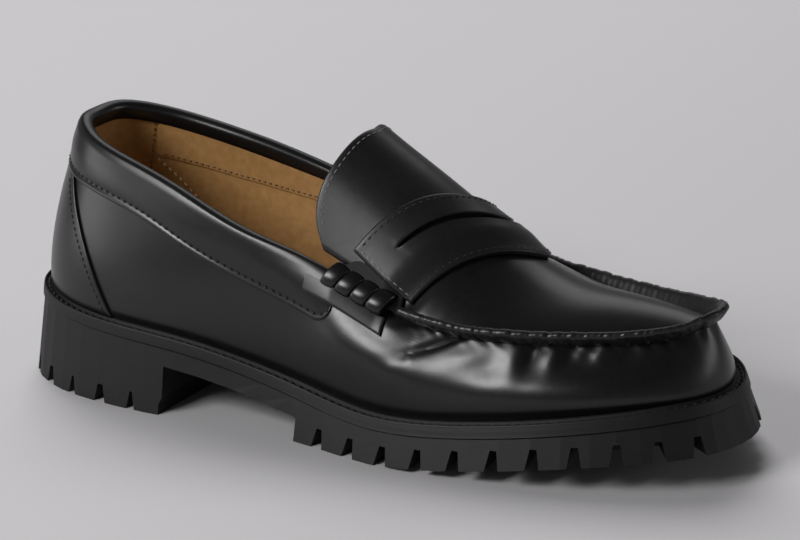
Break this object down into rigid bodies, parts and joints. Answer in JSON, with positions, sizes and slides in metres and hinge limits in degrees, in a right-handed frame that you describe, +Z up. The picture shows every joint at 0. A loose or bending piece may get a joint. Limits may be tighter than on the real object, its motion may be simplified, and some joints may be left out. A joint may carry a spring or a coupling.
{
  "type": "loafer shoe",
  "caption": "Chunky penny loafer: hollow leather upper with strap, raised moc seam and beef rolls on a lugged rubber sole with block heel.",
  "frame": {"origin": "middle of the shoe's box in plan, on the floor under the sole", "axes": "+X to the toe, +Y to the inner side of the right foot, +Z up"},
  "size_m": [0.3102, 0.1182, 0.1114],
  "materials": {
    "polished_black_leather": "polished, smooth, soft gloss",
    "black_rubber": "matte, fine brushed grain",
    "tan_lining_leather": "matte, fine grain"
  },
  "bodies": {
    "root": {"outsole": "black_rubber", "midsole": "black_rubber", "insole": "tan_lining_leather", "upper": "polished_black_leather", "moc_seam": "polished_black_leather", "heel_counter": "polished_black_leather", "collar_band": "polished_black_leather", "tongue": "polished_black_leather", "saddle_strap": "polished_black_leather", "beef_roll_outer": "polished_black_leather", "beef_roll_inner": "polished_black_leather", "roll_tab_outer": "polished_black_leather", "roll_tab_inner": "polished_black_leather"}
  },
  "joints": []
}
